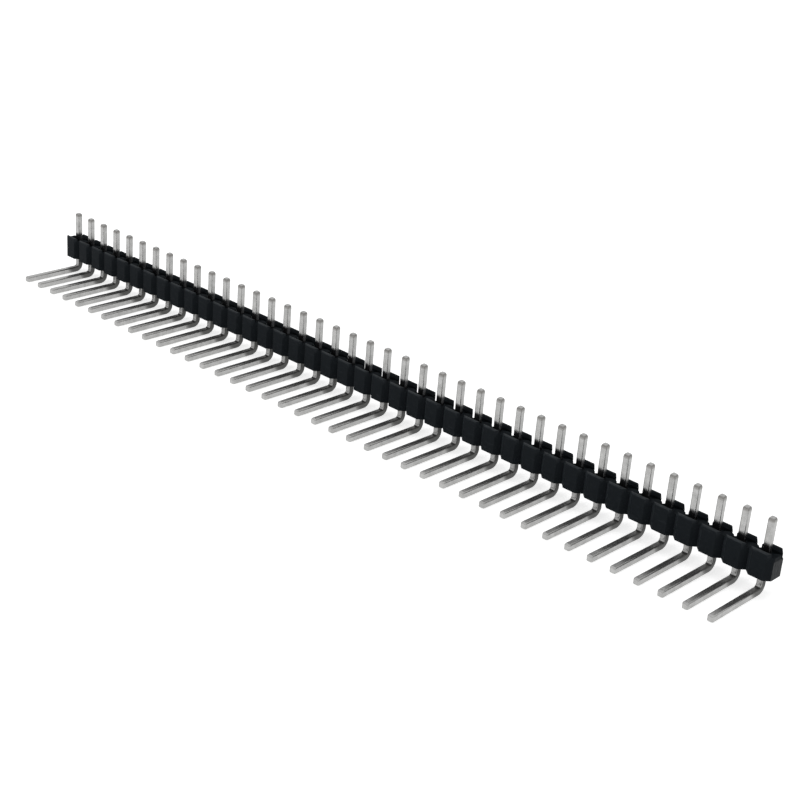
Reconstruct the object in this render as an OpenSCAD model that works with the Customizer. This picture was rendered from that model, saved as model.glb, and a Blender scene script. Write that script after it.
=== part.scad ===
// Right-angle pin header strip: one row of bent square pins in a moulded strip.
// Sizes are in millimetres. X runs along the row, the pin arms point towards -Y
// and Z is up. The arms lie on the plane Z = 0 and the stubs stand up from the
// housing. Every cell of the housing is joined to the next by a narrow neck.

/* [Row] */
// Number of pins, one to a cell
pin_count = 40; // [2:1:40]
// Distance from one pin to the next
pitch = 2.54; // [2.2:0.02:3.4]

/* [Housing] */
// Front to back
housing_depth = 2.54; // [2.2:0.02:3.6]
// Underside to the front land on top
housing_height = 2.6; // [1.6:0.05:5]
// Height of the underside above the plane the arms lie on
standoff = 1.9; // [1.8:0.05:4]
// Leg of the 45 degree notches between cells, front and back
notch = 0.55; // [0.3:0.05:0.7]
// Width of the flat land along the front of the top
front_land = 0.32; // [0.2:0.02:0.4]
// Width of the teeth along the back of the top
back_land = 0.35; // [0.2:0.02:0.45]
// How far the teeth stop below the front land
back_step = 0.25; // [0.1:0.05:0.5]
// Width of the flat along the back edge of the teeth
back_flat = 0.08; // [0.05:0.01:0.15]
// How far the tops of the teeth slope down towards the wells
back_slope = 0.3; // [0.1:0.05:0.4]
// Depth of the wells round the pins, below the front land
well_depth = 0.85; // [0.75:0.05:1.4]
// Width of the bridges between wells
bridge_width = 1.1; // [0.7:0.05:1.2]
// How far the bridges reach behind the pin axes
bridge_reach = 0.3; // [0:0.05:0.5]
// How far the bridges stop below the front land
bridge_step = 0.35; // [0.1:0.05:0.7]
// Bevel on the upper front edge
edge_break = 0.1; // [0.05:0.01:0.15]

/* [Pins] */
// Side of the square wire
pin_size = 0.64; // [0.5:0.02:0.8]
// Stub above the front land
stub_height = 2.85; // [1.5:0.05:9]
// Pin axis to the end of the arm
arm_reach = 7.7; // [5:0.1:14]
// Radius of the bend, at the middle of the wire
bend_radius = 0.6; // [0.5:0.05:1.3]
// Radius of the rounding that narrows each end
tip_radius = 0.4; // [0.4:0.05:1.2]
// Width of the flat left on each end
tip_flat = 0.44; // [0.2:0.02:0.46]

/* [Hidden] */
$fn = 64;
plastic = [0.11, 0.12, 0.13];
metal = [0.83, 0.83, 0.81];

// the origin is at the middle of the bounding box, on the resting plane
row_y = (arm_reach - housing_depth / 2) / 2;
housing_top = standoff + housing_height;
stub_top = housing_top + stub_height;
well_floor = housing_top - well_depth;
front_y = -housing_depth / 2;
back_y = housing_depth / 2;
half_wire = pin_size / 2;
// where the two rounded sides of an end have closed in to the flat
tip_length = sqrt(pow(tip_radius, 2) - pow(tip_radius - half_wire + tip_flat / 2, 2));

function pin_x(i) = (i - (pin_count + 1) / 2) * pitch;
function pin_name(i) = str("pin_", i < 10 ? "0" : "", i);

// a flat shape in Y and Z, made w wide along X and centred on X = 0
module across(w) {
    rotate([90, 0, 90]) linear_extrude(height = w, center = true) children();
}

// plan of the strip: one eight-sided cell after another
module strip_plan() {
    face = pitch / 2 - notch;
    neck = housing_depth / 2 - notch;
    polygon(concat(
        [[pin_x(1) - pitch / 2, -neck]],
        [for (i = [1 : pin_count]) each [
            [pin_x(i) - face, front_y], [pin_x(i) + face, front_y], [pin_x(i) + pitch / 2, -neck]]],
        [[pin_x(pin_count) + pitch / 2, neck]],
        [for (i = [pin_count : -1 : 1]) each [
            [pin_x(i) + face, back_y], [pin_x(i) - face, back_y], [pin_x(i) - pitch / 2, neck]]]));
}

// section of the strip: front land, well and back teeth
module strip_section() {
    polygon([
        [front_y, standoff], [back_y, standoff],
        [back_y, housing_top - back_step], [back_y - back_flat, housing_top - back_step],
        [back_y - back_land, housing_top - back_step - back_slope],
        [back_y - back_land, well_floor], [front_y + front_land, well_floor],
        [front_y + front_land, housing_top], [front_y + edge_break, housing_top],
        [front_y, housing_top - edge_break]]);
}

// one round-ended bridge seen from above, on the line between two cells
module bridge_plan() {
    translate([-bridge_width / 2, front_y])
        square([bridge_width, bridge_reach - bridge_width / 2 - front_y]);
    translate([0, bridge_reach - bridge_width / 2]) circle(d = bridge_width);
}

module housing() {
    color(plastic)
    translate([0, row_y, 0])
    difference() {
        intersection() {
            translate([0, 0, standoff]) linear_extrude(height = housing_height) strip_plan();
            union() {
                across((pin_count + 1) * pitch) strip_section();
                for (i = [0 : pin_count])
                    translate([pin_x(i) + pitch / 2, 0, standoff])
                        linear_extrude(height = housing_height - bridge_step) bridge_plan();
            }
        }
        for (i = [1 : pin_count])
            translate([pin_x(i) - half_wire, -half_wire, 0])
                cube([pin_size, pin_size, stub_top]);
    }
}

// outline of a narrowed end, starting at full width and pointing along +Y
module tip_outline() {
    intersection() {
        translate([tip_radius - half_wire, 0]) circle(r = tip_radius);
        translate([half_wire - tip_radius, 0]) circle(r = tip_radius);
        translate([-half_wire, 0]) square([pin_size, tip_length]);
    }
}

// side view of the whole wire in Y and Z
module wire_side() {
    translate([-half_wire, half_wire + bend_radius])
        square([pin_size, stub_top - tip_length - half_wire - bend_radius]);
    translate([0, stub_top - tip_length]) tip_outline();
    intersection() {
        translate([-bend_radius, half_wire + bend_radius]) difference() {
            circle(r = bend_radius + half_wire);
            circle(r = bend_radius - half_wire);
        }
        translate([-bend_radius, 0]) square([bend_radius + half_wire, bend_radius + half_wire]);
    }
    translate([tip_length - arm_reach, 0])
        square([arm_reach - tip_length - bend_radius, pin_size]);
    translate([tip_length - arm_reach, half_wire]) rotate(90) tip_outline();
}

// what is taken off the other two sides of an end
module tip_waste() {
    linear_extrude(height = pin_size * 2, center = true)
    difference() {
        translate([-pin_size, 0]) square([2 * pin_size, tip_radius]);
        intersection() {
            translate([tip_radius - half_wire, 0]) circle(r = tip_radius);
            translate([half_wire - tip_radius, 0]) circle(r = tip_radius);
        }
    }
}

module pin(i) {
    color(metal)
    translate([pin_x(i), row_y, 0])
    difference() {
        across(pin_size) wire_side();
        translate([0, 0, stub_top - tip_length]) rotate([90, 0, 0]) tip_waste();
        translate([0, tip_length - arm_reach, half_wire]) rotate([0, 0, 180]) tip_waste();
    }
}

housing();
for (i = [1 : pin_count])
    pin(i);
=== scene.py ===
"""A right-angle pin header strip: forty bent square pins in one moulded row.

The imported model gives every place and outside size. This script models the
shown pieces over it in millimetres, brings them to metres, dresses them and
sets up the floor, the lamps and the camera.
"""
import logging
import math
from dataclasses import dataclass, field
from enum import Enum
from typing import Any, Callable

import bmesh
import bpy
from mathutils import Matrix, Vector


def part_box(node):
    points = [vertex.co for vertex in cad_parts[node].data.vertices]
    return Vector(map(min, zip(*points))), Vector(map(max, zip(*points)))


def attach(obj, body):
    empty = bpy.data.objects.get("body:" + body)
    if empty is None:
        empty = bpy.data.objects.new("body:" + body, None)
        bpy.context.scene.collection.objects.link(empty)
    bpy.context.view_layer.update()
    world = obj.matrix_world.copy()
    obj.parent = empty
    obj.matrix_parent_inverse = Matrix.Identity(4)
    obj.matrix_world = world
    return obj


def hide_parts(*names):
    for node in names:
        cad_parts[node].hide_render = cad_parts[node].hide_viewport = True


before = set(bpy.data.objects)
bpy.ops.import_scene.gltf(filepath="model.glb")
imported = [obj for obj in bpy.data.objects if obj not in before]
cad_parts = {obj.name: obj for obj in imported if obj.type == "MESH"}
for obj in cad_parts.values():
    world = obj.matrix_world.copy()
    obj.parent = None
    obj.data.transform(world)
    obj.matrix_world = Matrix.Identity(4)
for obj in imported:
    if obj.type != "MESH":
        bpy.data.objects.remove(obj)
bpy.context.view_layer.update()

MM = 0.001
PER_METRE = 1000.0
NEAR = 0.01  # millimetres that a place may be off and still be picked
MERGE = 1e-4  # millimetres under which two points become one
CUT_MERGE = 1e-5  # the same, along a cut
SQUARE = 0.9  # least share of a normal in a face that is square to an axis
ROOT = "root"
log = logging.getLogger("pin_header")

Rgb = tuple[float, float, float]
Point = tuple[float, float, float]
Range = tuple[float, float]
Socket = bpy.types.NodeSocket
FaceTest = Callable[[Vector, Vector], bool]
EdgeTest = Callable[[Vector, Vector], bool]


class Slot(Enum):
    """The material slots of the record that the pieces take their finish from."""

    HOUSING = "housing_plastic"
    PINS = "pin_metal"


class Side(Enum):
    """The two ends of the row, as the sign of X."""

    LEFT = -1
    RIGHT = 1


# ---------------------------------------------------------------- the bench


class Bench:
    """Modelling steps shared by all pieces. Sizes are in millimetres."""

    @staticmethod
    def clear() -> None:
        """Leaves edit mode and lets go of everything."""
        if bpy.context.object and bpy.context.object.mode != "OBJECT":
            bpy.ops.object.mode_set(mode="OBJECT")
        bpy.ops.object.select_all(action="DESELECT")

    @staticmethod
    def take(piece: bpy.types.Object) -> None:
        """Makes one piece the only selected and active one.

        Args:
            piece: the piece to work on.
        """
        Bench.clear()
        piece.select_set(True)
        bpy.context.view_layer.objects.active = piece

    @staticmethod
    def plate(name: str, centre: Point, width: float, depth: float,
              turn: Point = (0.0, 0.0, 0.0)) -> bpy.types.Object:
        """Lays a flat rectangle that a piece is then shaped from.

        Args:
            name: name of the piece.
            centre: its middle.
            width: its size along X.
            depth: its size along its own Y.
            turn: rotation about X, Y and Z, in radians.

        Returns:
            The new object, its place in its mesh.
        """
        Bench.clear()
        bpy.ops.mesh.primitive_plane_add(size=1, location=centre, rotation=turn)
        plate = bpy.context.object
        plate.name = plate.data.name = name
        plate.scale = (width, depth, 1)
        bpy.ops.object.transform_apply(location=True, rotation=True, scale=True)
        return plate

    @staticmethod
    def edit(piece: bpy.types.Object) -> None:
        """Opens a piece for editing with nothing selected on it.

        Args:
            piece: the piece to edit.
        """
        Bench.take(piece)
        bpy.ops.object.mode_set(mode="EDIT")
        bpy.ops.mesh.select_all(action="DESELECT")

    @staticmethod
    def pick_faces(test: FaceTest) -> None:
        """Selects the faces of the open piece that pass a test.

        Args:
            test: takes the middle and the normal of a face.
        """
        mesh = bpy.context.object.data
        bpy.ops.mesh.select_mode(type="FACE")
        bpy.ops.mesh.select_all(action="DESELECT")
        shape = bmesh.from_edit_mesh(mesh)
        for face in [f for f in shape.faces if test(f.calc_center_median(), f.normal)]:
            face.select_set(True)
        bmesh.update_edit_mesh(mesh)

    @staticmethod
    def pick_edges(test: EdgeTest, open_only: bool = False) -> None:
        """Selects the edges of the open piece that pass a test.

        Args:
            test: takes the two ends of an edge.
            open_only: whether only edges with a single face count.
        """
        mesh = bpy.context.object.data
        bpy.ops.mesh.select_mode(type="EDGE")
        bpy.ops.mesh.select_all(action="DESELECT")
        shape = bmesh.from_edit_mesh(mesh)
        for edge in [e for e in shape.edges if test(e.verts[0].co, e.verts[1].co)
                     and not (open_only and len(e.link_faces) != 1)]:
            edge.select_set(True)
        bmesh.update_edit_mesh(mesh)

    @staticmethod
    def extrude(x: float = 0.0, y: float = 0.0, z: float = 0.0) -> None:
        """Draws the selected faces out by a distance along X, Y and Z."""
        bpy.ops.mesh.extrude_region_move(TRANSFORM_OT_translate={"value": (x, y, z)})

    @staticmethod
    def cut(place: Point, normal: Point) -> None:
        """Draws a straight line across the selected faces.

        Args:
            place: a point of the cutting plane.
            normal: direction that the plane faces.
        """
        bpy.ops.mesh.bisect(plane_co=place, plane_no=normal, threshold=CUT_MERGE)

    @staticmethod
    def apply(piece: bpy.types.Object, kind: str, **settings: Any) -> None:
        """Puts a modifier on a piece and applies it.

        Args:
            piece: the piece.
            kind: the modifier's type.
            settings: its values by name.
        """
        Bench.take(piece)
        modifier = piece.modifiers.new(kind.lower(), kind)
        for name, value in settings.items():
            setattr(modifier, name, value)
        bpy.ops.object.modifier_apply(modifier=modifier.name)

    @staticmethod
    def close_normals(piece: bpy.types.Object) -> None:
        """Merges what touches and turns every face outwards.

        Args:
            piece: the piece.
        """
        Bench.edit(piece)
        bpy.ops.mesh.select_all(action="SELECT")
        bpy.ops.mesh.remove_doubles(threshold=MERGE)
        bpy.ops.mesh.normals_make_consistent(inside=False)
        Bench.clear()

    @staticmethod
    def to_metres(piece: bpy.types.Object) -> None:
        """Brings a finished piece from millimetres to metres in its mesh.

        Args:
            piece: the piece.
        """
        Bench.take(piece)
        piece.scale = (MM, MM, MM)
        bpy.ops.object.transform_apply(location=True, rotation=True, scale=True)

    @staticmethod
    def copy(piece: bpy.types.Object, name: str, shift: float) -> bpy.types.Object:
        """Copies a piece, mesh and all, to a place further along X.

        Args:
            piece: the piece to copy.
            name: name of the copy.
            shift: distance along X.

        Returns:
            The copy, its place in its mesh.
        """
        Bench.take(piece)
        bpy.ops.object.duplicate(linked=False)
        twin = bpy.context.object
        twin.name = twin.data.name = name
        twin.location.x = shift
        bpy.ops.object.transform_apply(location=True, rotation=True, scale=True)
        return twin

    @staticmethod
    def report(piece: bpy.types.Object) -> None:
        """Logs a piece's faces, its size and whether it is closed.

        Args:
            piece: the piece.
        """
        shape = bmesh.new()
        shape.from_mesh(piece.data)
        loose = sum(1 for e in shape.edges if len(e.link_faces) != 2)
        volume = shape.calc_volume(signed=True) * PER_METRE ** 3
        shape.free()
        x, y, z = (d * PER_METRE for d in piece.dimensions)
        log.info("%s: %d faces, %.3f x %.3f x %.3f mm, %.3f mm3, %d edges open",
                 piece.name, len(piece.data.polygons), x, y, z, volume, loose)


def corner_of(node: str, high: bool) -> Vector:
    """Gives the lowest or the highest corner of a CAD node's box, in millimetres."""
    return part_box(node)[1 if high else 0] * PER_METRE


def centre_of(node: str) -> Vector:
    """Gives the middle of a CAD node's box, in millimetres."""
    low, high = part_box(node)
    return (low + high) * (PER_METRE / 2)


# ------------------------------------------------------------ node building


class Nodes:
    """Adds nodes to one node tree and links them."""

    def __init__(self, tree: bpy.types.NodeTree) -> None:
        """Starts on an emptied tree.

        Args:
            tree: the material's, world's or group's node tree.
        """
        self.tree = tree
        tree.nodes.clear()

    def add(self, kind: str, values: dict[str | int, Any] | None = None,
            **settings: Any) -> bpy.types.Node:
        """Adds a node.

        Args:
            kind: its type, without the ShaderNode that the name begins with.
            values: values or sockets for its inputs, by name or number.
            settings: its own properties.

        Returns:
            The node.
        """
        full = kind if kind.startswith("Node") else "ShaderNode" + kind
        node = self.tree.nodes.new(full)
        for name, value in settings.items():
            setattr(node, name, value)
        for key, value in (values or {}).items():
            self.feed(node.inputs[key], value)
        return node

    def feed(self, socket: Socket, value: Any) -> None:
        """Sets an input, or links it where the value is another node's output.

        Args:
            socket: the input.
            value: a number, a vector, a colour or an output socket.
        """
        if isinstance(value, Socket):
            self.tree.links.new(value, socket)
        elif socket.type == "RGBA" and len(value) == 3:
            socket.default_value = (*value, 1.0)
        else:
            socket.default_value = value

    def maths(self, job: str, first: Any, second: Any = 0.0, limit: bool = False) -> Socket:
        """Adds one sum and gives its result."""
        return self.add("Math", {0: first, 1: second}, operation=job, use_clamp=limit).outputs[0]

    def less(self, first: Any, second: Any) -> Socket:
        """Gives the first value less the second."""
        return self.maths("SUBTRACT", first, second)

    def times(self, first: Any, second: Any) -> Socket:
        """Gives the two values multiplied."""
        return self.maths("MULTIPLY", first, second)

    def reach(self, first: Any, second: Any) -> Socket:
        """Gives the length of the slope over two sides at right angles."""
        return self.maths("SQRT", self.maths("ADD", self.times(first, first),
                                             self.times(second, second)))

    def noise(self, place: Socket, scale: Socket, detail: float, roughness: float,
              **more: float) -> Socket:
        """Adds a noise texture and gives its value."""
        return self.add("TexNoise", {"Vector": place, "Scale": scale, "Detail": detail,
                                     "Roughness": roughness, **more}).outputs[0]

    def spread(self, value: Any, low: float, high: float,
               to_low: float = 0.0, to_high: float = 1.0) -> Socket:
        """Stretches the range low to high over another range.

        Args:
            value: what to stretch.
            low: value that becomes to_low.
            high: value that becomes to_high.
            to_low: lower result.
            to_high: upper result.

        Returns:
            The stretched and clamped value.
        """
        return self.add("MapRange", {"Value": value, "From Min": low, "From Max": high,
                                     "To Min": to_low, "To Max": to_high}).outputs[0]

    def fade(self, value: Any, span: Range, least: float = 0.0) -> Socket:
        """Gives 1 up to the start of a span, and falls to the least at its end."""
        return self.spread(value, *span, 1.0, least)

    def blend(self, factor: Any, first: Any, second: Any) -> Socket:
        """Mixes two colours by a factor and gives the result."""
        node = self.add("Mix", data_type="RGBA")
        colours = [s for s in node.inputs if s.type == "RGBA"]
        self.feed(node.inputs[0], factor)
        self.feed(colours[0], first)
        self.feed(colours[1], second)
        return next(s for s in node.outputs if s.type == "RGBA")


def new_group(name: str, inputs: dict[str, float], outputs: tuple[str, ...]) -> bpy.types.NodeTree:
    """Starts a node group of number sockets.

    Args:
        name: its name.
        inputs: its inputs with their starting values.
        outputs: names of its outputs.

    Returns:
        The empty group.
    """
    group = bpy.data.node_groups.new(name, "ShaderNodeTree")
    for label, value in inputs.items():
        socket = group.interface.new_socket(label, in_out="INPUT", socket_type="NodeSocketFloat")
        socket.default_value = value
    for label in outputs:
        group.interface.new_socket(label, in_out="OUTPUT", socket_type="NodeSocketFloat")
    return group


class Textures:
    """The node groups that the finishes share, each built once. Lengths are in metres."""

    FACING: Range = (0.5, 0.8)
    FACING_FRONT: Range = (0.4, 0.8)
    LINE_STRETCH: float = 0.02
    PINCH_START: Range = (0.00001, 0.00005)
    PINCH_END: Range = (0.0003, 0.0005)
    PINCH_RAGGED: float = 0.0001
    BEND_FADE: Range = (0.0008, 0.0014)
    BEND_RAGGED: float = 0.0004
    BEND_FRONT_LEFT: float = 0.2
    FOOT_DEPTH: float = 0.0012
    FOOT_FADE: Range = (0.0002, 0.0005)
    FOOT_RAGGED: float = 0.0002
    TEAR_SKIN: Range = (0.00002, 0.00005)
    TEAR_RAGGED: float = 0.0008
    TEAR_STRETCH: float = 0.12

    def __init__(self) -> None:
        """Builds all the groups."""
        self.drawn_wire = self._drawn_wire()
        self.moulded_skin = self._moulded_skin()
        self.edge_rub = self._edge_rub()
        self.moulded_form = self._moulded_form()

    @staticmethod
    def _ragged(n: Nodes, distance: Socket, noise: Socket, amount: float) -> Socket:
        """Makes a distance uneven by a centred noise."""
        return n.maths("ADD", distance, n.times(n.less(noise, 0.5), amount))

    @staticmethod
    def _drawn_wire() -> bpy.types.NodeTree:
        """Lines along the drawn wire, and masks for its narrowed tip, its bend, the sides near the
        bend and its foot, which are painted in shade; the tip and the bend are also made rougher.

        The distance from the middle of the bend, and the place along X, stay
        the same along the whole wire, so lines laid over those two run with it.
        """
        group = new_group("drawn_wire", {
            "Bend Y": 0.0, "Bend Z": 0.0, "Seat": 0.0, "Stub End": 0.0,
            "Line Scale": 9000.0, "Cloud Scale": 1500.0},
            ("Lines", "Cloud", "Tip Dull And Shade", "Bend Dull And Shade", "Flank Shade", "Foot Shade"))
        n = Nodes(group)
        given = n.add("NodeGroupInput").outputs
        place = n.add("TexCoord").outputs["Object"]
        x, y, z = n.add("SeparateXYZ", {0: place}).outputs
        facing = n.add("SeparateXYZ", {0: n.add("NewGeometry").outputs["Normal"]}).outputs
        aside, above = n.less(y, given["Bend Y"]), n.less(z, given["Bend Z"])
        radius = n.reach(n.maths("MAXIMUM", aside, 0.0), n.maths("MINIMUM", above, 0.0))
        along = n.times(n.less(z, y), Textures.LINE_STRETCH)
        across = n.add("CombineXYZ", {0: x, 1: radius, 2: along}).outputs[0]
        lines = n.noise(across, given["Line Scale"], 3.0, 0.6)
        cloud = n.noise(place, given["Cloud Scale"], 4.0, 0.55)
        # The narrowed tip: made rougher, and painted in shade by a darker colour.
        left = n.less(given["Stub End"], z)
        ragged = n.maths("ADD", left, n.times(cloud, Textures.PINCH_RAGGED))
        tip_dull_and_shade = n.times(n.spread(left, *Textures.PINCH_START), n.fade(ragged, Textures.PINCH_END))
        # Near the bend: painted shade, weaker on faces that look forward; the bend is also made
        # rougher.
        away = Textures._ragged(n, n.reach(aside, above), cloud, Textures.BEND_RAGGED)
        near = n.fade(away, Textures.BEND_FADE)
        front = n.fade(n.times(facing["Y"], -1.0), Textures.FACING_FRONT, Textures.BEND_FRONT_LEFT)
        # The sides near the bend: painted shade.
        flank = n.spread(n.maths("ABSOLUTE", facing["X"]), *Textures.FACING)
        # The foot of the stub, just above and below the top of the housing: painted shade.
        rise = Textures._ragged(n, n.less(z, given["Seat"]), cloud, Textures.FOOT_RAGGED)
        foot_shade_mask = n.times(n.maths("GREATER_THAN", rise, -Textures.FOOT_DEPTH),
                       n.fade(rise, Textures.FOOT_FADE))
        n.add("NodeGroupOutput", {
            "Lines": n.spread(lines, 0.3, 0.7), "Cloud": n.spread(cloud, 0.35, 0.68),
            "Tip Dull And Shade": tip_dull_and_shade, "Bend Dull And Shade": n.times(near, front),
            "Flank Shade": n.times(near, flank), "Foot Shade": foot_shade_mask})
        return group

    @staticmethod
    def _moulded_skin() -> bpy.types.NodeTree:
        """The skin of glass-filled plastic: fine grain, and mottling with short fibres."""
        group = new_group("moulded_skin", {"Grain Scale": 16000.0, "Mottle Scale": 1400.0,
                                           "Fibre Scale": 5200.0}, ("Grain", "Mottle", "Fibres"))
        n = Nodes(group)
        given = n.add("NodeGroupInput").outputs
        place = n.add("TexCoord").outputs["Object"]
        grain = n.noise(place, given["Grain Scale"], 4.0, 0.65)
        mottle = n.noise(place, given["Mottle Scale"], 5.0, 0.6, Distortion=0.4)
        flow = n.add("Mapping", {"Vector": place, "Rotation": (0.3, 0.5, 0.7),
                                 "Scale": (0.18, 1.0, 1.0)}).outputs[0]
        fibres = n.noise(flow, given["Fibre Scale"], 2.0, 0.5)
        n.add("NodeGroupOutput", {"Grain": grain, "Mottle": n.spread(mottle, 0.32, 0.7),
                                  "Fibres": n.spread(fibres, 0.6, 0.74)})
        return group

    @staticmethod
    def _edge_rub() -> bpy.types.NodeTree:
        """Where outer edges are rubbed: the sharp corners, broken up by noise."""
        group = new_group("edge_rub", {"Sharp From": 0.52, "Sharp To": 0.62,
                                       "Breakup Scale": 2500.0}, ("Rub",))
        n = Nodes(group)
        given = n.add("NodeGroupInput").outputs
        place = n.add("TexCoord").outputs["Object"]
        point = n.add("NewGeometry").outputs["Pointiness"]
        edge = n.add("MapRange", {"Value": point, "From Min": given["Sharp From"],
                                  "From Max": given["Sharp To"]}).outputs[0]
        noise = n.noise(place, given["Breakup Scale"], 4.0, 0.6)
        n.add("NodeGroupOutput", {"Rub": n.times(edge, n.spread(noise, 0.3, 0.65))})
        return group

    @staticmethod
    def _moulded_form() -> bpy.types.NodeTree:
        """Where the strip is painted lighter towards its top and on its upward faces, painted in
        shade and made matt in its recess, and torn at its ends.
        """
        group = new_group("moulded_form", {
            "Bottom": 0.0, "Top": 0.0, "Recess Top": 0.0, "End": 0.0, "Tear Top": 0.0,
            "Streak Scale": 11000.0}, ("Height Light", "Lit Top", "Recess", "Torn", "Streaks"))
        n = Nodes(group)
        given = n.add("NodeGroupInput").outputs
        x, y, z = n.add("SeparateXYZ", {0: n.add("TexCoord").outputs["Object"]}).outputs
        up = n.add("SeparateXYZ", {0: n.add("NewGeometry").outputs["Normal"]}).outputs["Z"]
        # Painted light: the plastic is paler towards the top of the strip.
        height_light = n.add("MapRange", {"Value": z, "From Min": given["Bottom"],
                                   "From Max": given["Top"]}).outputs[0]
        # Upward faces above the recess get painted light; those in the recess get painted shade and
        # a rougher skin.
        sunk = n.maths("LESS_THAN", z, given["Recess Top"])
        level = n.spread(up, *Textures.FACING)
        flow = n.add("CombineXYZ", {1: y, 2: n.times(z, Textures.TEAR_STRETCH)}).outputs[0]
        streaks = n.noise(flow, given["Streak Scale"], 3.0, 0.6)
        ragged = n.maths("ADD", z, n.times(streaks, Textures.TEAR_RAGGED))
        gap = n.less(given["End"], n.maths("ABSOLUTE", x))
        below = n.maths("LESS_THAN", ragged, given["Tear Top"])
        n.add("NodeGroupOutput", {
            "Height Light": height_light, "Lit Top": n.times(n.less(1.0, sunk), level),
            "Recess": n.times(sunk, level), "Torn": n.times(n.fade(gap, Textures.TEAR_SKIN), below),
            "Streaks": n.spread(streaks, 0.3, 0.7)})
        return group


def new_material(name: str) -> tuple[bpy.types.Material, Nodes]:
    """Starts a material with nothing in it.

    Args:
        name: its name.

    Returns:
        The material and the hand that adds its nodes.
    """
    material = bpy.data.materials.new(name)
    material.use_nodes = True
    return material, Nodes(material.node_tree)


@dataclass(frozen=True)
class MouldedPlastic:
    """Black glass-filled thermoplastic, matt, with edges rubbed a little paler; it is painted
    lighter towards its top and on its upward faces, and painted in shade in its recess.
    """

    deep: Rgb = (0.0050, 0.0068, 0.0084)
    # The pale end of the plastic's own mottle, and of the painted light towards the top.
    pale: Rgb = (0.0085, 0.0108, 0.0130)
    rubbed: Rgb = (0.026, 0.030, 0.034)
    # Painted light on upward faces.
    lit_top: Rgb = (0.058, 0.063, 0.067)
    torn: Rgb = (0.034, 0.036, 0.038)
    torn_pale: Rgb = (0.115, 0.118, 0.120)
    roughness: float = 0.50
    roughness_drift: float = 0.16
    dull_roughness: float = 0.35
    rub_polish: float = 0.12
    specular: float = 0.05
    mottle_share: float = 0.55
    # Share of the painted light towards the top.
    height_light_share: float = 0.75
    least_lit_top: float = 0.1
    fibre_share: float = 0.35
    rub_share: float = 0.7
    grain_height: float = 0.0035
    fibre_height: float = 0.3
    streak_height: float = 4.0
    bump: float = 0.55
    recess_margin: float = 0.02

    def material(self, textures: Textures, form: "Housing") -> bpy.types.Material:
        """Builds the plastic.

        Args:
            textures: the shared node groups.
            form: the housing, whose sizes place the finish on it.

        Returns:
            The material.
        """
        material, n = new_material("black_moulded_plastic")
        skin = n.add("Group", node_tree=textures.moulded_skin).outputs
        rub = n.add("Group", node_tree=textures.edge_rub).outputs["Rub"]
        places = {"Bottom": form.low.z, "Top": form.high.z, "End": form.high.x,
                  "Recess Top": form.bridge_top + self.recess_margin, "Tear Top": form.bridge_top}
        # Where the plastic is torn, and where it is painted lighter or in shade.
        marks_and_painted_light = n.add("Group", {label: value * MM for label, value in places.items()},
                     node_tree=textures.moulded_form)
        shape = marks_and_painted_light.outputs
        # Paler by the plastic's own mottle, and by painted light towards the top.
        pale = n.maths("ADD", n.times(skin["Mottle"], self.mottle_share),
                       n.times(shape["Height Light"], self.height_light_share))
        # Upward faces in the recess stay deep: painted shade.
        tone = n.blend(n.times(pale, n.less(1.0, shape["Recess"])), self.deep, self.pale)
        # Painted light: upward faces above the recess are paler, as if lit.
        lit_top_mask = n.times(shape["Lit Top"], n.spread(skin["Mottle"], 0.0, 1.0, self.least_lit_top, 1.0))
        tone = n.blend(lit_top_mask, tone, self.lit_top)
        tone = n.blend(n.times(skin["Fibres"], self.fibre_share), tone, self.rubbed)
        tone = n.blend(n.times(rub, self.rub_share), tone, self.rubbed)
        tear = n.blend(shape["Streaks"], self.torn, self.torn_pale)
        tone = n.blend(shape["Torn"], tone, tear)
        rough = n.spread(skin["Mottle"], 0.0, 1.0, self.roughness,
                         self.roughness + self.roughness_drift)
        rough = n.less(rough, n.times(rub, self.rub_polish))
        dull = n.maths("MAXIMUM", shape["Recess"], shape["Torn"])
        rough = n.maths("ADD", rough, n.times(dull, self.dull_roughness))
        height = n.maths("ADD", skin["Grain"], n.times(skin["Fibres"], self.fibre_height))
        height = n.maths("ADD", height, n.times(n.times(shape["Torn"], shape["Streaks"]),
                                                self.streak_height))
        bump = n.add("Bump", {"Strength": self.bump, "Distance": self.grain_height * MM,
                              "Height": height}).outputs[0]
        shader = n.add("BsdfPrincipled", {"Base Color": tone, "Roughness": rough, "Normal": bump,
                                          "Specular IOR Level": self.specular})
        n.add("OutputMaterial", {"Surface": shader.outputs[0]})
        return material


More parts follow.
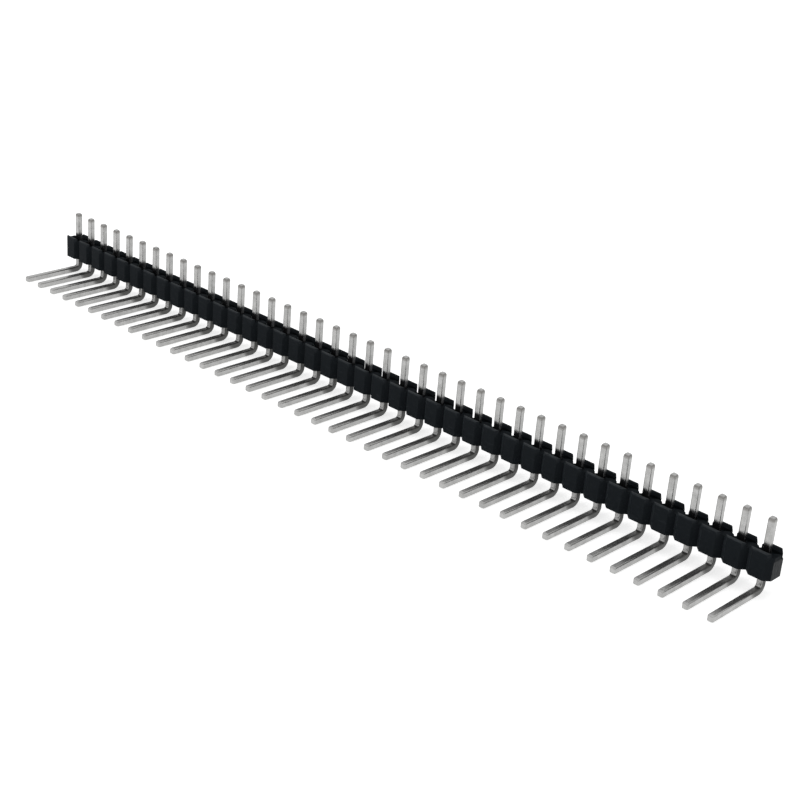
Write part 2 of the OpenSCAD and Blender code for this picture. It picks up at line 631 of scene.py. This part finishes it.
@dataclass(frozen=True)
class TinPlate:
    """Bright tin over drawn brass wire, with fine lines along the wire, and painted shade on the
    tip, at the bend, on the sides near the bend and at the foot.
    """

    bright: Rgb = (0.43, 0.43, 0.425)
    dull: Rgb = (0.35, 0.35, 0.345)
    worn: Rgb = (0.52, 0.515, 0.50)
    # The four colours below are painted shade: on the tip, at the bend, on the sides near the bend
    # and at the foot.
    tip_dull_and_shade: Rgb = (0.27, 0.265, 0.255)
    bend_shade: Rgb = (0.20, 0.20, 0.195)
    flank_shade: Rgb = (0.11, 0.11, 0.107)
    foot_shade: Rgb = (0.045, 0.046, 0.048)
    roughness: float = 0.19
    roughness_drift: float = 0.10
    dull_roughness: float = 0.12
    metallic: float = 0.92
    metallic_drift: float = -0.10
    rub_share: float = 0.6
    cloud_share: float = 0.6
    line_share: float = 0.4
    line_height: float = 0.0012
    bump: float = 0.5

    def material(self, textures: Textures, places: dict[str, float]) -> bpy.types.Material:
        """Builds the plated metal.

        Args:
            textures: the shared node groups.
            places: where the bends, the seat and the stub ends are, in millimetres.

        Returns:
            The material.
        """
        material, n = new_material("tin_plated_wire")
        # The wire's lines and cloud, and the masks where it is painted in shade.
        marks_and_painted_light = n.add("Group", {label: value * MM for label, value in places.items()},
                     node_tree=textures.drawn_wire)
        wire = marks_and_painted_light.outputs
        rub = n.add("Group", node_tree=textures.edge_rub).outputs["Rub"]
        tone = n.blend(wire["Cloud"], self.bright, self.dull)
        tone = n.blend(n.times(rub, self.rub_share), tone, self.worn)
        # Painted shade at the bend, on the sides near the bend, at the foot and on the tip.
        for part, colour in (("Bend Dull And Shade", self.bend_shade), ("Flank Shade", self.flank_shade),
                             ("Foot Shade", self.foot_shade), ("Tip Dull And Shade", self.tip_dull_and_shade)):
            tone = n.blend(wire[part], tone, colour)
        mix = n.maths("ADD", n.times(wire["Cloud"], self.cloud_share),
                      n.times(wire["Lines"], self.line_share))
        rough = n.spread(mix, 0.0, 1.0, self.roughness, self.roughness + self.roughness_drift)
        dull = n.maths("MAXIMUM", wire["Tip Dull And Shade"], wire["Bend Dull And Shade"])
        rough = n.maths("ADD", rough, n.times(dull, self.dull_roughness))
        metal = n.spread(mix, 0.0, 1.0, self.metallic, self.metallic + self.metallic_drift)
        bump = n.add("Bump", {"Strength": self.bump, "Distance": self.line_height * MM,
                              "Height": wire["Lines"]}).outputs[0]
        shader = n.add("BsdfPrincipled", {"Base Color": tone, "Roughness": rough,
                                          "Normal": bump, "Metallic": metal})
        n.add("OutputMaterial", {"Surface": shader.outputs[0]})
        return material


# ---------------------------------------------------------------- the housing


@dataclass
class Housing:
    """The moulded strip of eight-sided cells, in millimetres."""

    count: int
    pitch: float
    row_y: float
    notch: float = 0.55
    front_land: float = 0.32
    back_land: float = 0.35
    teeth_top: float = 4.25
    teeth_flat: float = 0.08
    teeth_slope: float = 0.3
    bridge_top: float = 4.15
    well_floor: float = 3.65
    bridge_reach: float = 0.3
    wire: float = 0.64
    edge_break: float = 0.1
    edge_round: float = 0.035
    bridge_steps: int = 8
    weld: float = 0.002
    sharp_from: float = 35.0
    low: Vector = field(default_factory=lambda: corner_of("housing", False))
    high: Vector = field(default_factory=lambda: corner_of("housing", True))

    @property
    def land_y(self) -> float:
        """Where the front land ends."""
        return self.low.y + self.front_land

    @property
    def teeth_y(self) -> float:
        """Where the teeth begin."""
        return self.high.y - self.back_land

    @property
    def reach_y(self) -> float:
        """Where the bridges end."""
        return self.row_y + self.bridge_reach

    @property
    def side_x(self) -> float:
        """Half the width of a cell's front face."""
        return self.pitch / 2 - self.notch

    def build(self) -> bpy.types.Object:
        """Models one cell, repeats it along the row and rounds the edges.

        Returns:
            The whole housing.
        """
        cell = self._plan()
        self._raise(cell)
        self._round_bridges()
        self._open_sides()
        strip = self._repeat(cell)
        self._close_ends(strip)
        self._round_edges(strip)
        Bench.to_metres(strip)
        return strip

    def _plan(self) -> bpy.types.Object:
        """Draws the underside of the first cell with the outline of every form on it.

        Returns:
            The flat cell, open for editing.
        """
        land, teeth = self.land_y, self.teeth_y
        side, hole = self.side_x, self.wire / 2
        cell = Bench.plate("housing_strip", (0.0, self.row_y, self.low.z),
                           self.pitch, self.high.y - self.low.y)
        Bench.edit(cell)
        bpy.ops.mesh.select_mode(type="VERT")
        bpy.ops.mesh.select_all(action="SELECT")
        bpy.ops.mesh.bevel(offset=self.notch, segments=1, affect="VERTICES")
        for y in (land, teeth, self.high.y - self.teeth_flat):
            bpy.ops.mesh.select_all(action="SELECT")
            Bench.cut((0, y, 0), (0, 1, 0))
        for x in (-side, side):
            Bench.pick_faces(lambda c, n: land < c.y < teeth)
            Bench.cut((x, 0, 0), (1, 0, 0))
        Bench.pick_faces(lambda c, n: land < c.y < teeth and abs(c.x) > side)
        Bench.cut((0, self.reach_y, 0), (0, 1, 0))
        for x in (-hole, hole):
            Bench.pick_faces(lambda c, n: land < c.y < teeth and abs(c.x) < side)
            Bench.cut((x, 0, 0), (1, 0, 0))
        for y in (self.row_y - hole, self.row_y + hole):
            Bench.pick_faces(lambda c, n: land < c.y < teeth and abs(c.x) < hole)
            Bench.cut((0, y, 0), (0, 1, 0))
        Bench.pick_faces(lambda c, n: abs(c.y - self.row_y) < hole and abs(c.x) < hole)
        bpy.ops.mesh.delete(type="FACE")
        return cell

    def _raise(self, cell: bpy.types.Object) -> None:
        """Draws each form of the cell up to its height.

        Args:
            cell: the flat cell, open for editing; not used, as the steps work on the piece that is
                open.
        """
        land, teeth = self.land_y, self.teeth_y

        def on_bridge(c: Vector) -> bool:
            """Tells whether a place is on the front land or a bridge."""
            return c.y < land or (abs(c.x) > self.side_x and c.y < self.reach_y)

        bpy.ops.mesh.select_all(action="SELECT")
        Bench.extrude(z=self.well_floor - self.low.z)
        Bench.pick_faces(lambda c, n: abs(c.z - self.well_floor) < NEAR and on_bridge(c))
        Bench.extrude(z=self.bridge_top - self.well_floor)
        Bench.pick_faces(lambda c, n: abs(c.z - self.bridge_top) < NEAR and c.y < land)
        Bench.extrude(z=self.high.z - self.bridge_top)
        Bench.pick_faces(lambda c, n: abs(c.z - self.well_floor) < NEAR and c.y > teeth)
        Bench.extrude(z=self.teeth_top - self.well_floor)
        Bench.pick_edges(lambda a, b: min(a.z, b.z) > self.teeth_top - NEAR
                         and max(abs(a.y - teeth), abs(b.y - teeth)) < NEAR)
        bpy.ops.transform.translate(value=(0.0, 0.0, -self.teeth_slope))
        Bench.pick_edges(lambda a, b: min(a.z, b.z) > self.high.z - NEAR
                         and max(a.y, b.y) < self.low.y + NEAR)
        bpy.ops.mesh.bevel(offset=self.edge_break, segments=1, affect="EDGES")

    def _round_bridges(self) -> None:
        """Rounds the ends of the two half bridges of the open cell."""

        def on_corner(p: Vector) -> bool:
            """Tells whether a point is on the upright corner of a bridge."""
            return (abs(abs(p.x) - self.side_x) < NEAR and abs(p.y - self.reach_y) < NEAR
                    and p.z > self.well_floor - NEAR)

        Bench.pick_edges(lambda a, b: on_corner(a) and on_corner(b) and abs(a.z - b.z) > NEAR)
        bpy.ops.mesh.bevel(offset=self.notch, segments=self.bridge_steps, affect="EDGES",
                           clamp_overlap=False)

    def _open_sides(self) -> None:
        """Takes away the faces where the open cell joins its neighbours."""
        Bench.pick_faces(lambda c, n: abs(abs(c.x) - self.pitch / 2) < NEAR
                         and abs(n.x) > SQUARE)
        bpy.ops.mesh.delete(type="FACE")
        Bench.clear()

    def _repeat(self, cell: bpy.types.Object) -> bpy.types.Object:
        """Copies the cell along the row and joins the copies.

        Args:
            cell: one cell, open where it joins its neighbours.

        Returns:
            The strip, still open at its two ends.
        """
        Bench.close_normals(cell)
        Bench.take(cell)
        cell.location.x = self.low.x + self.pitch / 2
        bpy.ops.object.transform_apply(location=True, rotation=True, scale=True)
        Bench.apply(cell, "ARRAY", count=self.count, use_relative_offset=False,
                    use_constant_offset=True, constant_offset_displace=(self.pitch, 0, 0),
                    use_merge_vertices=True, merge_threshold=self.weld)
        return cell

    def _close_ends(self, strip: bpy.types.Object) -> None:
        """Closes the strip at its two ends.

        Args:
            strip: the strip, open at its ends.
        """
        Bench.edit(strip)
        for side in Side:
            end = (self.low if side is Side.LEFT else self.high).x
            Bench.pick_edges(lambda a, b: max(abs(a.x - end), abs(b.x - end)) < NEAR,
                             open_only=True)
            bpy.ops.mesh.edge_face_add()
        Bench.close_normals(strip)

    def _round_edges(self, strip: bpy.types.Object) -> None:
        """Gives every sharp edge the small rounding that a mould leaves.

        Args:
            strip: the closed strip.
        """
        Bench.apply(strip, "BEVEL", width=self.edge_round, segments=2, limit_method="ANGLE",
                    angle_limit=math.radians(self.sharp_from), harden_normals=True,
                    use_clamp_overlap=True)

    def dress(self, strip: bpy.types.Object, finish: bpy.types.Material) -> None:
        """Gives the housing its plastic and ties it to its node.

        Args:
            strip: the housing.
            finish: its material.
        """
        strip.data.materials.clear()
        strip.data.materials.append(finish)
        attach(strip, ROOT)
        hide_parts("housing")
        Bench.report(strip)


# ------------------------------------------------------------------ the pins


@dataclass
class Pins:
    """The row of bent square pins, in millimetres."""

    count: int
    row_y: float
    wire: float = 0.64
    corner: float = 0.12
    corner_steps: int = 4
    bend_radius: float = 0.6
    bend_steps: int = 14
    tip_radius: float = 0.4
    tip_flat: float = 0.44
    tip_steps: int = 6
    low: Vector = field(default_factory=lambda: corner_of("pin_01", False))
    high: Vector = field(default_factory=lambda: corner_of("pin_01", True))

    @property
    def tip_length(self) -> float:
        """Length of the narrowed end."""
        inset = self.tip_radius - self.wire / 2 + self.tip_flat / 2
        return math.sqrt(self.tip_radius ** 2 - inset ** 2)

    @property
    def bend_centre(self) -> tuple[float, float]:
        """Y and Z of the middle of the bend."""
        return self.row_y - self.bend_radius, self.low.z + self.wire / 2 + self.bend_radius

    def build(self) -> list[bpy.types.Object]:
        """Models the first pin and copies it along the row.

        Returns:
            All the pins, from left to right.
        """
        first = self._wire()
        Bench.close_normals(first)
        Bench.apply(first, "WEIGHTED_NORMAL", mode="FACE_AREA", weight=80, keep_sharp=True)
        Bench.to_metres(first)
        start = centre_of("pin_01").x
        pins = [first]
        for i in range(2, self.count + 1):
            shift = (centre_of(f"pin_{i:02d}").x - start) * MM
            pins.append(Bench.copy(first, f"pin_wire_{i:02d}", shift))
        return pins

    def _wire(self) -> bpy.types.Object:
        """Models one pin from the end of its arm to the end of its stub.

        Returns:
            The pin, in millimetres.
        """
        x = centre_of("pin_01").x
        middle = self.low.z + self.wire / 2
        bend_y, bend_z = self.bend_centre
        arm_end = self.low.y + self.tip_length
        stub_end = self.high.z - self.tip_length
        pin = Bench.plate("pin_wire_01", (x, arm_end, middle), self.wire, self.wire,
                          turn=(math.pi / 2, 0.0, 0.0))
        Bench.edit(pin)
        bpy.ops.mesh.select_mode(type="VERT")
        bpy.ops.mesh.select_all(action="SELECT")
        bpy.ops.mesh.bevel(offset=self.corner, segments=self.corner_steps, affect="VERTICES",
                           profile=0.5)
        bpy.ops.mesh.select_mode(type="FACE")
        bpy.ops.mesh.select_all(action="SELECT")
        Bench.extrude(y=bend_y - arm_end)
        bpy.ops.mesh.spin(steps=self.bend_steps, angle=-math.pi / 2,
                          center=(x, bend_y, bend_z), axis=(1, 0, 0))
        Bench.extrude(z=stub_end - bend_z)
        self._narrow((x, self.row_y, stub_end), (0.0, 0.0, 1.0))
        Bench.pick_faces(lambda c, n: abs(c.y - arm_end) < NEAR and abs(n.y) > SQUARE)
        self._narrow((x, arm_end, middle), (0.0, -1.0, 0.0))
        Bench.clear()
        return pin

    def _narrow(self, start: Point, way: Point) -> None:
        """Draws the selected end face out to a rounded, narrowed tip.

        Args:
            start: middle of the face.
            way: direction that the tip points.
        """
        half = self.wire / 2
        place, along = Vector(start), Vector(way)
        reached, last = 0.0, half
        for step in range(1, self.tip_steps + 1):
            turn = math.asin(self.tip_length / self.tip_radius) * step / self.tip_steps
            out = self.tip_radius * math.sin(turn)
            wide = self.tip_radius * math.cos(turn) - (self.tip_radius - half)
            Bench.extrude(*(along * (out - reached)))
            size = [1.0 if abs(a) > 0.5 else wide / last for a in along]
            bpy.ops.transform.resize(value=size, center_override=tuple(place + along * out))
            reached, last = out, wide

    def dress(self, pins: list[bpy.types.Object], finish: bpy.types.Material) -> None:
        """Gives the pins their plating and ties each to its node.

        Args:
            pins: the pins, from left to right.
            finish: their material.
        """
        for i, pin in enumerate(pins, 1):
            pin.data.materials.clear()
            pin.data.materials.append(finish)
            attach(pin, ROOT)
            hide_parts(f"pin_{i:02d}")
            Bench.report(pin)


# ---------------------------------------------------------------- the studio


@dataclass(frozen=True)
class Lamp:
    """A soft square lamp: where it hangs, its side and its power in watts."""

    name: str
    place: Point
    side: float
    power: float

    def hang(self, aim: Vector) -> None:
        """Puts the lamp in the scene.

        Args:
            aim: the point that it shines at.
        """
        light = bpy.data.lights.new(self.name, "AREA")
        light.shape, light.size, light.energy = "SQUARE", self.side, self.power
        lamp = bpy.data.objects.new(self.name, light)
        bpy.context.scene.collection.objects.link(lamp)
        lamp.location = self.place
        lamp.visible_glossy = False
        lamp.rotation_euler = (aim - Vector(self.place)).to_track_quat("-Z", "Y").to_euler()


@dataclass(frozen=True)
class Camera:
    """Where the strip is looked at from. Angles in degrees, lengths in millimetres."""

    azimuth: float = 42.25
    elevation: float = 23.83
    roll: float = 4.65
    distance: float = 167.81
    aim: Point = (3.138, 6.371, 0.512)
    lens: float = 71.65
    sensor: float = 36.0

    def place(self) -> None:
        """Adds the camera and makes it the scene's."""
        a, e, r = (math.radians(v) for v in (self.azimuth, self.elevation, self.roll))
        back = Vector((math.sin(a) * math.cos(e), -math.cos(a) * math.cos(e), math.sin(e)))
        right = Vector((0, 0, 1)).cross(back).normalized()
        up = back.cross(right)
        turned_right = right * math.cos(r) + up * math.sin(r)
        turned_up = up * math.cos(r) - right * math.sin(r)
        spot = (Vector(self.aim) + back * self.distance) * MM
        data = bpy.data.cameras.new("camera")
        data.lens, data.sensor_width, data.clip_start = self.lens, self.sensor, MM
        camera = bpy.data.objects.new("camera", data)
        bpy.context.scene.collection.objects.link(camera)
        turn = Matrix((turned_right, turned_up, back)).transposed()
        camera.matrix_world = Matrix.Translation(spot) @ turn.to_4x4()
        bpy.context.scene.camera = camera


@dataclass
class Studio:
    """A pale floor, a white surround and soft lamps. Lengths are in metres."""

    floor_side: float = 3.0
    floor_drop: float = 0.00002
    floor_colour: Rgb = (0.86, 0.86, 0.86)
    floor_glow: float = 0.62
    shade_start: Range = (0.0036, 0.0051)
    shade_end: Range = (0.0095, 0.0120)
    sky: Rgb = (0.50, 0.50, 0.50)
    white: Rgb = (1.0, 1.0, 1.0)
    horizon: float = 0.45
    horizon_span: Range = (0.10, 0.36)
    lamp_aim: Point = (0.0, 0.0, 0.003)
    lamps: tuple[Lamp, ...] = (
        Lamp("key_lamp", (-0.16, -0.46, 0.16), 0.26, 0.80),
        Lamp("fill_lamp", (0.42, -0.20, 0.26), 0.30, 0.25),
        Lamp("top_lamp", (-0.05, 0.05, 0.50), 0.30, 0.35),
    )

    def build(self) -> None:
        """Sets up the floor, the surround, the lamps and the view transform."""
        bpy.context.scene.view_settings.view_transform = "Standard"
        self._surround()
        self._floor()
        for lamp in self.lamps:
            lamp.hang(Vector(self.lamp_aim))

    @staticmethod
    def _seen(n: Nodes) -> Socket:
        """Gives 1 for a ray that the camera, a gloss or a clear body sends out."""
        path = n.add("LightPath").outputs
        seen = n.maths("ADD", path["Is Camera Ray"], path["Is Glossy Ray"], True)
        return n.maths("ADD", seen, path["Is Transmission Ray"], True)

    def _surround(self) -> None:
        """Makes a surround that is white to look at and lights the scene plainly."""
        world = bpy.data.worlds.new("surround")
        world.use_nodes = True
        bpy.context.scene.world = world
        n = Nodes(world.node_tree)
        height = n.add("SeparateXYZ", {0: n.add("TexCoord").outputs["Generated"]}).outputs["Z"]
        glow = n.maths("MAXIMUM", n.spread(height, *self.horizon_span, self.horizon, 1.0),
                       n.add("LightPath").outputs["Is Camera Ray"])
        white = n.add("Background", {"Color": self.white, "Strength": glow})
        light = n.add("Background", {"Color": self.sky, "Strength": 1.0})
        mix = n.add("MixShader", {0: self._seen(n), 1: light.outputs[0], 2: white.outputs[0]})
        n.add("OutputWorld", {"Surface": mix.outputs[0]})

    def _floor(self) -> None:
        """Lays the floor that the arms rest on, with shade behind the strip."""
        Bench.clear()
        bpy.ops.mesh.primitive_plane_add(size=self.floor_side, location=(0, 0, -self.floor_drop))
        floor = bpy.context.object
        floor.name = "floor"
        material, n = new_material("pale_floor")
        matt = n.add("BsdfDiffuse", {"Color": self.floor_colour})
        y = n.add("SeparateXYZ", {0: n.add("TexCoord").outputs["Object"]}).outputs["Y"]
        clear = n.maths("ADD", n.fade(y, self.shade_start), n.spread(y, *self.shade_end), True)
        camera = n.add("LightPath").outputs["Is Camera Ray"]
        strength = n.times(n.maths("MAXIMUM", clear, camera), self.floor_glow)
        glow = n.add("Emission", {"Color": self.white,
                                  "Strength": n.times(self._seen(n), strength)})
        both = n.add("AddShader", {0: matt.outputs[0], 1: glow.outputs[0]})
        n.add("OutputMaterial", {"Surface": both.outputs[0]})
        floor.data.materials.append(material)


def main() -> None:
    """Builds the header strip and the studio."""
    logging.basicConfig(level=logging.INFO, format="%(message)s")
    Camera().place()
    count = sum(1 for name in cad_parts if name.startswith("pin_"))
    first, second = centre_of("pin_01"), centre_of("pin_02")
    row_y = centre_of("housing").y
    textures = Textures()
    housing = Housing(count=count, pitch=second.x - first.x, row_y=row_y)
    housing.dress(housing.build(), MouldedPlastic().material(textures, housing))
    pins = Pins(count=count, row_y=row_y)
    bend_y, bend_z = pins.bend_centre
    places = {"Bend Y": bend_y, "Bend Z": bend_z, "Seat": housing.high.z, "Stub End": pins.high.z}
    pins.dress(pins.build(), TinPlate().material(textures, places))
    Studio().build()


if __name__ == "__main__":
    main()
